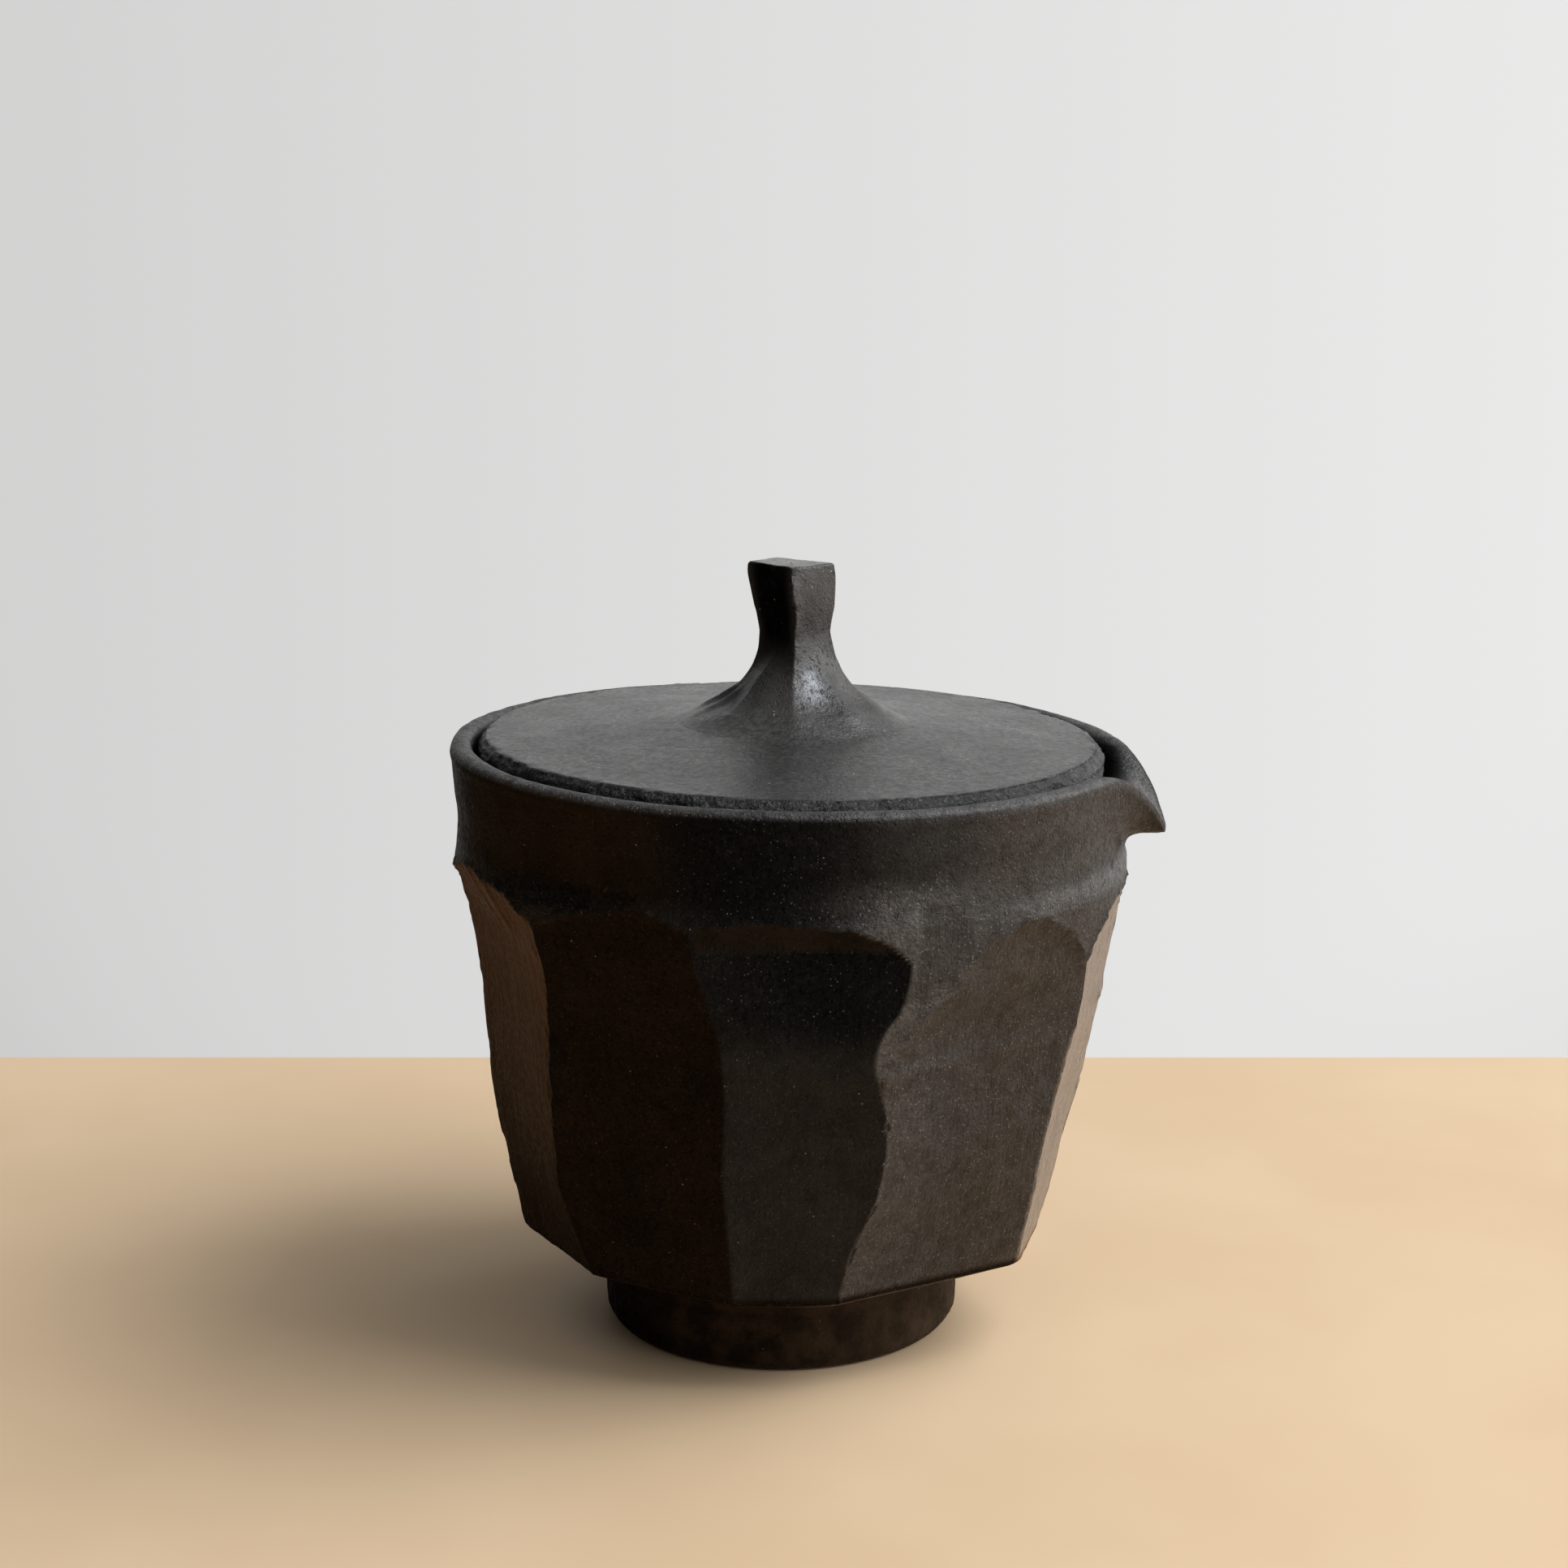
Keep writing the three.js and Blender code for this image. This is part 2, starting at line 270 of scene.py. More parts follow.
def facet_columns():
    """Each column's facet and its share of the way across it, so that columns follow the corners."""
    sides, shares = [], []
    for i in range(len(CORNERS)):
        start = CORNERS[i]["line"][-1][1]
        end = CORNERS[i + 1]["line"][-1][1] if i + 1 < len(CORNERS) else CORNERS[0]["line"][-1][1] + 360
        count = max(6, round((end - start) / COLUMN_DEG))
        sides += [i] * count
        shares += [j / count for j in range(count)]
    return np.array(sides), np.array(shares)


SIDE, SHARE = facet_columns()


def corner_lines(height):
    """Angle and radius of every corner at each height, with the first repeated a turn later."""
    angles, radii = [], []
    for corner in CORNERS:
        angles.append(through(height, corner["line"]))
        sink = (USUAL_MEET - corner["meet"]) * ease(height, corner["meet"] - 18, corner["meet"])
        set_in = corner["out"] * (1 - ease(height, 42, 60))
        set_in += corner["base"] * (1 - ease(height, EDGE_HEIGHT, 36))
        radii.append(np.minimum(corner_radius(height + sink) + set_in, round_radius(height)))
    angles.append(angles[0] + 360)
    radii.append(radii[0])
    return np.array(angles), np.array(radii)


def cut_wall(height):
    """Angle, radius, cut depth and distance below the cut's top edge, for rows of heights."""
    angles, radii = corner_lines(height)
    left, right = angles[SIDE].T, angles[SIDE + 1].T
    angle = left + (right - left) * SHARE
    uncut = round_radius(height)[:, None] + 0 * angle
    from_point = polar(radii[SIDE].T, left, 0)
    to_point = polar(radii[SIDE + 1].T, right, 0)
    across = to_point - from_point
    ray = polar(1.0, angle, 0)
    cross = from_point[..., 0] * across[..., 1] - from_point[..., 1] * across[..., 0]
    turn = ray[..., 0] * across[..., 1] - ray[..., 1] * across[..., 0]
    chord = cross / turn
    depth = np.zeros_like(angle)
    below = np.full_like(angle, UNCUT)
    for i, facet in enumerate(FACETS):
        mine = SIDE == i
        a, z = angle[:, mine], height[:, None]
        if facet is None:
            depth[:, mine] = np.maximum(uncut[:, mine] - chord[:, mine], 0)
            below[:, mine] = np.where(depth[:, mine] > 0.3, -UNCUT, UNCUT)
            continue
        top = facet["peak"] - facet["fall"] * np.abs(a - facet["centre"]) ** facet["power"]
        along_top = polar(45.0, a, z * 0)
        top = top + 0.35 * noise(along_top, 2.6, 11 + i) + 0.22 * noise(along_top, 1.1, 211 + i)
        hollow = 0.25 * np.sin(math.pi * SHARE[mine]) * ease(z, EDGE_HEIGHT, 20)
        flat = np.maximum(uncut[:, mine] - chord[:, mine], 0) + hollow
        entry = facet["entry"] * (top - z)
        depth[:, mine] = np.maximum(soft_min(flat, entry, 0.35), 0)
        below[:, mine] = top - z
    return angle, uncut - depth, depth, below


def pull(angle, power, rounding=0.06):
    """How much of the pull that made the lip each angle got: 1 at its middle, 0 away from it."""
    away = np.abs((angle - SPOUT_ANGLE + 180) % 360 - 180) / SPOUT_HALF
    near = np.clip(1 - np.sqrt(away**2 + rounding**2) + rounding, 0, 1)
    return near**power


# The rim's section as it was thrown, and where the lip was pulled out of it: (place along it, radius,
# height), from the shoulder over the rim to the ledge.
THROWN = [(0, 45.4, 66), (3, 44.9, 69.5), (6, 44.9, 72.5), (9, 45.2, 75.5), (12, 45.4, 78.2),
          (14, 45.55, 79.6), (15, 45.2, 80.35), (16, 44.2, 80.7), (17, 43.15, 80.45), (18, 42.65, 79.6),
          (20, 42.6, 77.8), (22, 42.6, 75.4)]
PULLED = [(0, 45.4, 66), (3, 45.05, 67.6), (5, 45.5, 68.9), (7, 46.9, 69.5), (9, 48.6, 69.6),
          (12, 50.1, 69.7), (14, 50.7, 70.0), (15, 50.65, 70.9), (16, 50.0, 71.7), (17, 49.0, 72.6),
          (18, 47.4, 74.1), (20, 45.1, 75.5), (22, 42.8, 75.5)]
PULLED_REACH = 50.7


def section(rows, which):
    """Radius and height at places along one of the two sections."""
    radius = through(rows, [(t, r) for t, r, _ in which])
    height = through(rows, [(t, z) for t, _, z in which])
    return radius, height


# Single lumps and pits left on the wall: angle, height, half width, half height and how far out, in mm.
LUMPS = [(71.0, 70.3, 0.8, 1.2, 0.5), (67.0, 67.6, 0.5, 0.5, -0.5), (-91.0, 34.5, 0.6, 0.6, 0.5),
         (88.0, 58.7, 0.6, 0.5, 0.4), (86.0, 45.7, 0.5, 0.5, 0.4), (84.0, 33.0, 0.5, 0.6, 0.3),
         (-24.0, 66.9, 0.9, 0.5, 0.25), (152.0, 52.0, 0.6, 0.6, 0.4), (85.0, 27.0, 4.0, 5.0, -0.7)]


def bowl_piece():
    # underside and facets
    under_rows = 12
    wall_height = np.linspace(EDGE_HEIGHT, SHOULDER - 0.2, 116)
    angle, radius, depth, below = cut_wall(wall_height)
    t = np.linspace(0, 1, under_rows, endpoint=False)[:, None]
    under_radius = 20 + (radius[0] - 20 - 0.45) * t**0.8
    under_height = FOOT_TOP - 0.15 + (EDGE_HEIGHT - 0.45 - FOOT_TOP) * ease(under_radius, 25, radius[0])
    # neck, rim and inside of the rim
    along = np.concatenate([np.linspace(0, 14, 38), np.linspace(14.2, 18, 20), np.linspace(18.4, 22, 10)])
    thrown_radius, thrown_height = section(along, THROWN)
    pulled_radius, pulled_height = section(along, PULLED)
    neck_angle = np.repeat(angle[-1:], len(along), axis=0)
    reach, droop = pull(neck_angle, 1.6), pull(neck_angle, 2.5)
    lip_scale = (SPOUT_TIP - SHOULDER_RADIUS) / (PULLED_REACH - SHOULDER_RADIUS)
    stretched = SHOULDER_RADIUS + (pulled_radius - SHOULDER_RADIUS) * lip_scale
    pulled_radius = np.where(pulled_radius > SHOULDER_RADIUS, stretched, pulled_radius)
    neck_radius = thrown_radius[:, None] + (pulled_radius - thrown_radius)[:, None] * reach
    neck_height = thrown_height[:, None] + (pulled_height - thrown_height)[:, None] * droop
    neck_cut, neck_below = np.zeros_like(neck_angle), np.full_like(neck_angle, UNCUT)
    low_rows = slice(0, 6)  # the neck's rows that the cuts can reach
    _, _, cut_depth, cut_below = cut_wall(thrown_height[low_rows] + 1e-6)
    outer = along[low_rows] < 3
    neck_radius[low_rows][outer] -= cut_depth[outer]
    neck_cut[low_rows][outer], neck_below[low_rows][outer] = cut_depth[outer], cut_below[outer]
    dip_share = ease(thrown_height, SHOULDER, 78)[:, None] * (1 - droop)
    # inside wall and floor
    inner = [(75.0, 42.6), (71.5, 41.0), (66, 39.4), (58, 38.0), (48, 36.6), (37, 35.0), (25, 32.4),
             (19, 30.0), (15.5, 27.0), (14.0, 23.5)]
    inner_height = np.linspace(75.0, 14.0, 56)
    inner_radius = through(-inner_height, [(-z, r) for z, r in inner])
    floor_radius = np.linspace(22.5, 0.6, 18)
    floor_height = FLOOR_HEIGHT + 0.5 * ease(floor_radius, 12, 23)
    inside_radius = np.concatenate([inner_radius, floor_radius])[:, None] + 0 * angle[:1]
    inside_height = np.concatenate([inner_height, floor_height])[:, None] + 0 * angle[:1]
    zeros = np.zeros_like(inside_radius)
    # all rows together
    bottom = np.repeat(angle[:1], under_rows, axis=0)
    top = np.repeat(angle[-1:], len(inside_radius), axis=0)
    all_angle = np.concatenate([bottom, angle, neck_angle, top])
    all_radius = np.concatenate([under_radius, radius, neck_radius, inside_radius])
    wall_rows = wall_height[:, None] + 0 * angle
    all_height = np.concatenate([under_height, wall_rows, neck_height, inside_height])
    dip = np.concatenate([0 * under_radius, 0 * radius, dip_share, zeros])
    points = polar(all_radius, all_angle, 0)
    points[..., 2] = all_height - DIP * points[..., 0] * dip
    points[..., 0] += lean(all_height)
    cut = np.concatenate([0 * under_radius, depth, neck_cut, zeros])
    below_top = np.concatenate([0 * under_radius + UNCUT, below, neck_below, zeros + UNCUT])
    over_rim = ease(along, 15, 16.5)[:, None] + 0 * neck_radius
    lip_side = np.concatenate([0 * under_radius, 0 * radius, over_rim, zeros])
    is_inside = np.concatenate([0 * under_radius, 0 * radius, 0 * neck_radius, 1 + zeros])
    # hand-made surface
    normal = grid_normals(points)
    on_facet = ease(cut, 0.02, 0.16)
    outside = 1 - is_inside
    rough = 0.16 * layered(points, 16, 21, 2)
    rough += outside * 0.045 * layered(points, 1.7, 31, 2)
    rough += on_facet * 0.05 * layered(points, (2.2, 2.2, 26), 41, 3)
    throwing = 0.05 * noise(points * np.array([0.02, 0.02, 1]), 2.4, 51)
    rough += (1 - on_facet) * outside * throwing
    burr = np.exp(-((below_top + 0.1) / 0.45) ** 2) * (0.16 + 0.28 * layered(points, 1.1, 61, 2))
    rough += burr * outside
    share = 0 * all_angle + SHARE
    corner_near = np.exp(-((np.minimum(share, 1 - share) * 30) ** 2) / 2)
    chips = np.clip(layered(points, 1.8, 71, 2) - 0.15, 0, 1)
    rough -= corner_near * on_facet * 0.3 * chips
    for lump_angle, lump_height, half_width, half_height, out in LUMPS:
        across = ((all_angle - lump_angle + 180) % 360 - 180) * math.radians(1) * all_radius
        size = (across / half_width) ** 2 + ((all_height - lump_height) / half_height) ** 2
        rough += outside * out * np.exp(-size)
    points = points + normal * rough[..., None]
    points[..., 1] = np.clip(points[..., 1], BODY_LOW[1] + INSIDE_CAD, BODY_HIGH[1] - INSIDE_CAD)
    colours = bowl_zones(points, all_angle, all_height, on_facet, lip_side, is_inside)
    return make_piece("bowl_wall", points, AXIS_X, {"cut": on_facet, **colours})


# How brown each facet is, how much grey film it holds (on the facet below the lip partly a painted
# reflection), how black it is and how much dust and sheen it has, from the left round the front.
FACET_TONES = [(1.0, 0.0, 0.0, 0.27), (1.0, 0.0, 0.30, 0.0), (0.35, 0.12, 0.1, 0.0), (0.3, 0.5, 0.0, 0.0),
               (0.9, 0.42, 0.0, 0.02), (1.0, 0.8, 0.0, 0.5), (0.8, 0.3, 0.1, 0.1), (0.6, 0.3, 0.2, 0.0),
               (0.5, 0.2, 0.4, 0.0), (0.8, 0.1, 0.1, 0.1)]


def hump(value, centre, half, power=2.0):
    """1 at the centre and about a third at half away from it; a higher power has steeper sides."""
    return np.exp(-(np.abs((value - centre) / half) ** power))


def bowl_zones(points, angle, height, on_facet, lip_side, is_inside):
    """Where the fired clay is brown or black rather than charcoal, and where a grey film lies on it; painted
    shade and a painted reflection are mixed into these masks in places.
    """
    a = (angle + 180) % 360 - 180
    rows = len(angle)
    facet = np.array(FACET_TONES)[SIDE]
    brown, film_and_reflection, black, dust_and_sheen = (np.repeat(facet[None, :, i], rows, axis=0) for i in range(4))
    # front facet: a brown strip where the knife went in, a black patch below it, greyer to the foot
    front = (SIDE == 2)[None, :] * 1.0
    strip = ease(height, 62.6, 63.6) * front
    patch = front * ease(height, 47, 55) * (1 - strip) * (0.6 + 0.4 * hump(a, 5, 14))
    brown = brown * (1 - patch) * (1 - strip) + 0.7 * strip
    film_and_reflection = film_and_reflection * (1 - 0.7 * strip) * (1 - 0.5 * patch)
    black = np.maximum(black, 0.95 * patch)
    # right-hand front facet: greyer along its left side, brown at the upper right
    right = (SIDE == 4)[None, :] * 1.0
    brown = brown * (1 - 0.55 * right * (1 - ease(a, 28, 46)))
    film_and_reflection = film_and_reflection + 0.12 * right * (1 - ease(a, 18, 36))
    # painted shade: the left facet's sheen fades downward; the lower edge of every cut is brown,
    # darkened toward black there as painted shade
    far_left = (SIDE == 0)[None, :] * 1.0
    dust_and_sheen = dust_and_sheen * (1 - far_left * (1 - ease(height, 14, 66)) * 0.95)
    edge = 1 - ease(height, 13.8, 14.8)
    brown, film_and_reflection, black = np.maximum(brown, edge), film_and_reflection * (1 - edge), np.maximum(black, 0.45 * edge)
    # the round wall above the cuts
    uncut = 1 - on_facet
    wall_brown = 0.15 + 0.8 * hump(a, -46, 30, 4) + 0.75 * hump(a, 58, 27, 4)
    wall_brown = wall_brown + 0.35 * hump(np.abs(a), 150, 30)
    wall_black = 0.9 * hump(a, -4, 16, 3) * ease(height, 62, 68)
    wall_black = np.maximum(wall_black, hump(a, -43, 21, 4) * hump(height, 67.3 + 0.03 * (a + 43), 2.2, 3))
    wall_film_and_reflection = 0.75 * hump(a, 17, 12) * (1 - ease(height, 68, 73)) + 0.25 * hump(a, 26, 20)
    wall_film_and_reflection = wall_film_and_reflection + 0.3 * hump(a, 58, 27, 4)
    band = hump(height, 66.3, 2.1, 3) * (0.15 + 0.6 * hump(a, 62, 38, 4))
    wall_film_and_reflection = np.maximum(wall_film_and_reflection, band)
    # painted reflection: the rim's top gets the grey film colour, besides more specular
    top = ease(height, 79.5, 80.3) * (1 - is_inside)
    reach = np.hypot(points[..., 0], points[..., 1])
    # the lip's channel is made grey: partly film, partly a painted reflection
    lip_channel = hump(a, SPOUT_ANGLE, 24, 4) * ease(reach, 43.5, 46.5) * lip_side
    wall_film_and_reflection = np.maximum(np.maximum(wall_film_and_reflection, 0.9 * top), lip_channel)
    wall_brown, wall_black = wall_brown * (1 - top) * (1 - lip_channel), wall_black * (1 - 0.5 * top)
    wall_brown = wall_brown * (1 - band)
    brown = brown * on_facet + wall_brown * uncut
    film_and_reflection = film_and_reflection * on_facet + wall_film_and_reflection * uncut
    black = black * on_facet + wall_black * uncut
    shade = 1 - 0.6 * is_inside
    return {"brown": np.clip(brown, 0, 1) * shade, "film_and_reflection": np.clip(film_and_reflection, 0, 1) * shade,
            "black": np.clip(black, 0, 1), "dust_and_sheen": dust_and_sheen * on_facet}


# ---- Foot, ledge ----


def turned_rows(knots, count):
    """Rows of radius and height along a turned outline, evenly spaced along its length."""
    outline = np.array(knots, float)
    length = np.concatenate([[0], np.cumsum(np.linalg.norm(np.diff(outline, axis=0), axis=1))])
    at = np.linspace(0, length[-1], count)
    return np.interp(at, length, outline[:, 0]), np.interp(at, length, outline[:, 1])


def foot_piece():
    r, top = FOOT_RADIUS - 0.12, FOOT_TOP + 0.5
    outline = [(0.5, 7.0), (17.2, 7.0), (18.6, 6.4), (19.3, 5.0), (19.7, 0.9), (20.3, 0.1), (r - 1.6, 0.1),
               (r - 0.7, 0.45), (r - 0.1, 1.5), (r, 3.5), (r - 0.05, 7.6), (r - 0.3, 7.95), (r - 0.35, 8.4),
               (r - 0.1, 8.8), (r + 0.05, 10.2), (r + 0.5, top), (16, top), (0.5, top)]
    radius, height = turned_rows(outline, 150)
    angle = np.arange(0, 360, 1.0)[None, :] + 0 * radius[:, None]
    points = polar(radius[:, None], angle, 0)
    points[..., 2] = height[:, None]
    inside_clay = (height > FOOT_TOP) | ((height > 6.9) & (radius < 17.3) & (height < 7.1))
    side = np.where(inside_clay, 0.2, 1.0)[:, None]
    above = ease(points[..., 2], 0.3, 1.2)
    rough = side * (0.10 * layered(points, 1.9, 91, 3) + 0.10 * layered(points, 13, 95, 2)) * above
    pits = np.clip(-layered(points, 1.1, 97, 2) - 0.45, 0, 1)
    rough -= side * 0.35 * pits * above
    points = points + grid_normals(points) * rough[..., None]
    points[..., 2] = np.maximum(points[..., 2], 0.02)
    worn = 1 - ease(points[..., 2], 0.2, 1.4)
    # painted shade on the foot's left side and painted light on its right side
    dark, pale = hump(angle, 285, 34, 4), hump(angle, 75, 52, 4)
    return make_piece("foot", points, FOOT_X, {"worn": worn, "dark": dark, "pale": pale})


def ledge_piece():
    inner = 37.6
    outline = [(inner, 73.8), (40.6, 71.8), (42.9, 71.6), (42.9, 74), (42.9, 76), (41, 75.98), (38.5, 75.95),
               (37.9, 75.75), (inner, 75.2), (inner - 0.05, 74.5), (inner, 73.8)]
    radius, height = turned_rows(outline, 60)
    radius, height = radius[:-1], height[:-1]
    angle = np.arange(0, 360, 1.0)[None, :] + 0 * radius[:, None]
    points = polar(radius[:, None], angle, 0)
    points[..., 2] = height[:, None] - DIP * points[..., 0] * ease(height, 71.5, 73.5)[:, None]
    rough = 0.05 * layered(points, 1.6, 101, 3) * (radius < 42)[:, None]
    points = points + grid_normals(points) * np.clip(rough, -0.1, 0.02)[..., None]
    return ring_piece("ledge", points, AXIS_X)


# ---- Lid ----


def lid_top(radius):
    return through(radius, [(0, 84.6), (8, 84.6), (12, 84.2), (15, 83.55), (20, 82.9), (30, 82.0), (38, 81.5),
                            (LID_RADIUS, LID_EDGE)])


def lid_dip(points, radius):
    """How much lower each point lies because the lid leans toward the lip."""
    return DIP * points[..., 0] * ease(radius, 12, 16)


def lid_piece():
    edge = LID_RADIUS - 0.15
    under = [(0.5, 79.0), (33.2, 79.0), (34.4, 78.6), (36.8, LID_UNDER + 0.15),
             (edge - 1.0, LID_UNDER + 0.12)]
    side = [(edge - 0.45, LID_UNDER + 0.3), (edge - 0.15, LID_UNDER + 1.2), (edge - 0.05, 78.5),
            (edge, LID_EDGE - 1.5), (edge - 0.35, LID_EDGE - 0.75), (edge - 1.0, LID_EDGE - 0.12)]
    under_rows, side_rows, top_rows = 34, 22, 96
    under_radius, under_height = turned_rows(under, under_rows)
    side_radius, side_height = turned_rows(side, side_rows)
    top_radius = np.linspace(edge - 1.25, 0.6, top_rows)
    radius = np.concatenate([under_radius, side_radius, top_radius])
    height = np.concatenate([under_height, side_height, lid_top(top_radius)])
    angle = np.arange(0, 360, 0.75)[None, :] + 0 * radius[:, None]
    wobble = 0.18 * noise(polar(LID_RADIUS, angle, 0.0), 17, 111)
    outer = ease(radius, 34, LID_RADIUS)[:, None]
    points = polar(radius[:, None] + wobble * outer, angle, 0)
    points[..., 2] = height[:, None] - lid_dip(points, radius[:, None])
    is_side = np.repeat([0.0, 1.0, 0.0], [under_rows, side_rows, top_rows])[:, None]
    is_top = np.repeat([0.0, 0.0, 1.0], [under_rows, side_rows, top_rows])[:, None]
    near_edge = ease(radius, 39.4, 41.0)[:, None]
    torn = layered(points, (1.5, 1.5, 0.9), 121, 3)
    rough = is_side * (0.22 * torn - 0.1)
    rough = rough + is_top * (0.06 * layered(points, 18, 131, 2) + 0.018 * layered(points, 1.3, 135, 2))
    ring_wave = 0.008 * np.sin(radius[:, None] * 2.4 + 2.0 * noise(points, 30, 141))
    rough = rough + is_top * ring_wave
    chip = np.clip(layered(points, 1.6, 151, 2) - 0.1, 0, 1)
    rough = rough - is_top * near_edge * 0.35 * chip
    points = points + grid_normals(points) * rough[..., None]
    rim_wear = np.clip(is_side + is_top * near_edge * chip, 0, 1)
    return make_piece("lid_plate", points, AXIS_X, {"torn": rim_wear + 0 * angle})


def polygon_radius(angle, corners):
    """Distance from the axis to the side of a polygon whose corners lie on a circle of radius 1."""
    corners = np.sort(np.array(corners, float) % 360)
    closed = np.append(corners, corners[0] + 360)
    a = (angle - corners[0]) % 360 + corners[0]
    i = np.clip(np.searchsorted(closed, a, side="right") - 1, 0, len(corners) - 1)
    half = (closed[i + 1] - closed[i]) / 2
    middle = (closed[i + 1] + closed[i]) / 2
    return np.cos(np.radians(half)) / np.cos(np.radians(a - middle))


KNOB_CORNERS = [0, 86, 200, 260]
FLARE_CORNERS = [0, 40, 86, 122, 160, 200, 232, 260, 312]

# Ridges that the knife left between the small cuts of the flare: angle, how far out and half width.
FLARE_RIDGES = [(246, 0.45, 7), (262, 0.35, 6), (281, 0.35, 6), (331, 0.25, 8), (46, 0.28, 10), (78, 0.3, 9)]


def knob_piece():
    # flare from the lid up to the neck of the knob, then the four-sided grip
    flare = [(4.9, 11.6), (5.4, 9.0), (6.2, 6.9), (7.2, 5.3), (8.4, 3.9), (9.7, 2.75), (11.0, 1.85),
             (12.5, 1.05), (14.0, 0.5), (15.5, 0.12), (17.0, -0.15), (18.5, -0.45)]
    flare_radius = np.concatenate([np.linspace(18.4, 8.5, 60), np.linspace(8.3, 5.0, 44)])
    flare_height = lid_top(np.maximum(flare_radius, 12.0)) + through(flare_radius, flare)
    grip_height = np.concatenate([np.linspace(flare_height[-1] + 0.3, 104.3, 44), [104.5, 104.65, 104.7]])
    grip = [(95.0, 4.93), (97.2, 5.15), (99.2, 5.5), (101.6, 5.85), (103.4, 6.0), (104.3, 5.9)]
    grip_radius = through(grip_height, grip)
    grip_radius[-3:] = [5.8, 5.6, 5.3]
    cap_radius = np.linspace(5.0, 0.3, 12)
    skirt_radius = np.linspace(1.0, 18.2, 6)
    radius = np.concatenate([skirt_radius, flare_radius, grip_radius, cap_radius])
    height = np.concatenate([np.full(6, 82.2), flare_height, grip_height, np.full(12, KNOB_TOP - 0.08)])
    angle = np.arange(0, 360, 1.5)[None, :] + 0 * radius[:, None]
    z = height[:, None]
    twist = 2.5 * noise(polar(10.0, angle * 0, z), 9, 161)
    four = polygon_radius(angle + twist, KNOB_CORNERS)
    many = polygon_radius(angle + 2 * twist, FLARE_CORNERS)
    upper = ease(z, 88.5, 94.5)
    lower = 1 - ease(z, 83.9, 86.5)
    shape = four * upper + many * (1 - upper)
    shape = shape * (1 - lower) + lower
    rounded = (shape + np.roll(shape, 1, axis=1) + np.roll(shape, -1, axis=1)) / 3
    pinched = [(84.6, 0.2), (86.5, 0.8), (89.5, 1.0), (92, 0.8), (94.4, 0.5), (96.5, 0.2), (99, 0.0)]
    pinch = through(z, pinched)
    rounded = rounded * (1 - 0.125 * hump(angle, 270, 50) * pinch)
    from_front = (angle + 180) % 360 - 180
    blunt = hump(from_front, -8, 22) * ease(z, 101.5, 104.6) * ease(radius[:, None], 4.0, 5.0)
    rounded = rounded * (1 - 0.17 * blunt)
    points = polar(radius[:, None] * rounded, angle, 0)
    sway = 0.45 * ease(z, 86, 94) * (1 - ease(z, 98, 104.5))
    points[..., 0] += sway
    points[..., 2] = z - lid_dip(points, radius[:, None]) * (1 - ease(z, 84.5, 88))
    rough = 0.10 * layered(points, 5, 171, 2) + 0.035 * layered(points, 1.3, 175, 2)
    side = ease(z, 84, 85.5)
    front_corner = hump(from_front, 0, 7) * ease(z, 87, 92)
    nicks = np.clip(layered(points, 1.0, 181, 2), -0.3, 1.0) * front_corner
    ridges = np.zeros_like(points[..., 2])
    for ridge_angle, out, half in FLARE_RIDGES:
        ridges += out * hump((angle - ridge_angle + 180) % 360 - 180, 0, half) * hump(z, 86.4, 1.7, 3)
    points = points + grid_normals(points) * ((rough * side) - 0.25 * nicks + ridges)[..., None]
    points[..., 2] = np.minimum(points[..., 2], KNOB_TOP - 0.03)
    is_cap = (np.arange(len(radius)) >= len(radius) - len(cap_radius) - 1)[:, None] + 0 * angle
    # painted shade: the grip's left-front side is marked to be coloured near black
    soot_and_shade = hump(angle, 311, 47, 8) * ease(z, 91, 96) * (1 - is_cap)
    # painted highlight: a patch on the flare's right-front face, coloured bluish white
    painted_highlight = hump(from_front, 21, 12) * hump(z, 89.2, 1.9, 3)
    low = 1 - ease(z, 84.0, 87.5) + 0 * angle
    zones = {"soot_and_shade": soot_and_shade, "cap": is_cap, "painted_highlight": painted_highlight, "low": low}
    return make_piece("lid_grip", points, AXIS_X, zones)


# ---- Materials ----


